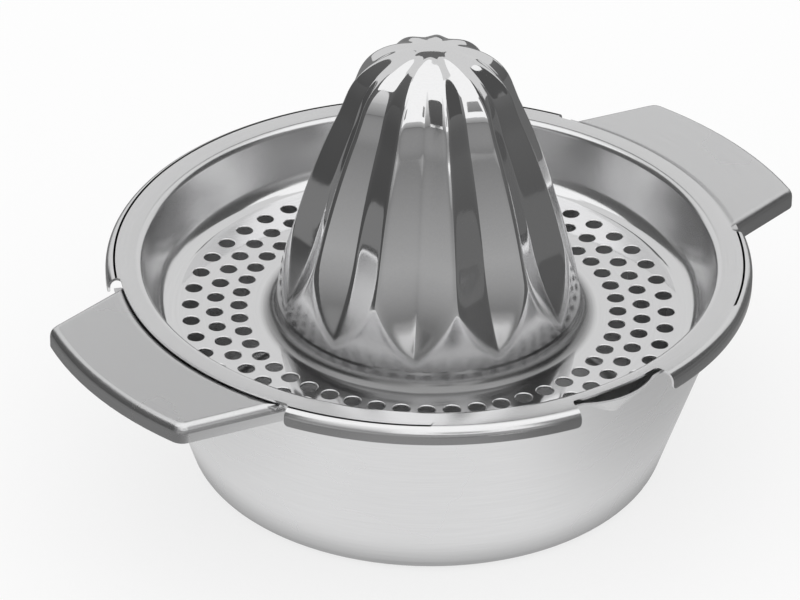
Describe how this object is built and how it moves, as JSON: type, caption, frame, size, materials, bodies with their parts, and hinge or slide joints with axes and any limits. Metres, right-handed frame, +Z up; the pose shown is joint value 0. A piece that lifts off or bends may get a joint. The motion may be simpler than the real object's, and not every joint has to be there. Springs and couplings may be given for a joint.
{
  "type": "hand citrus juicer",
  "caption": "Hand citrus juicer: a fluted reamer cone on a pierced strainer dish that lifts out of a flared bowl with ear handles and a spout.",
  "frame": {"origin": "centre of the flat base, on the surface it stands on", "axes": "+Z up along the bowl's axis, +X along the two handles, -Y towards the spout"},
  "size_m": [0.1788, 0.144, 0.1025],
  "materials": {
    "bowl_steel": "satin stainless steel sheet, brushed round the wall and across the handles",
    "strainer_steel": "polished stainless steel sheet, near mirror on the cone, dish and rim"
  },
  "bodies": {
    "bowl": {"bowl": "bowl_steel"},
    "strainer": {"strainer": "strainer_steel"}
  },
  "joints": [
    {"name": "strainer_lift", "type": "slide", "parent": "bowl", "child": "strainer", "axis": [0, 0, 1], "range_m": [0, 0.06]}
  ]
}
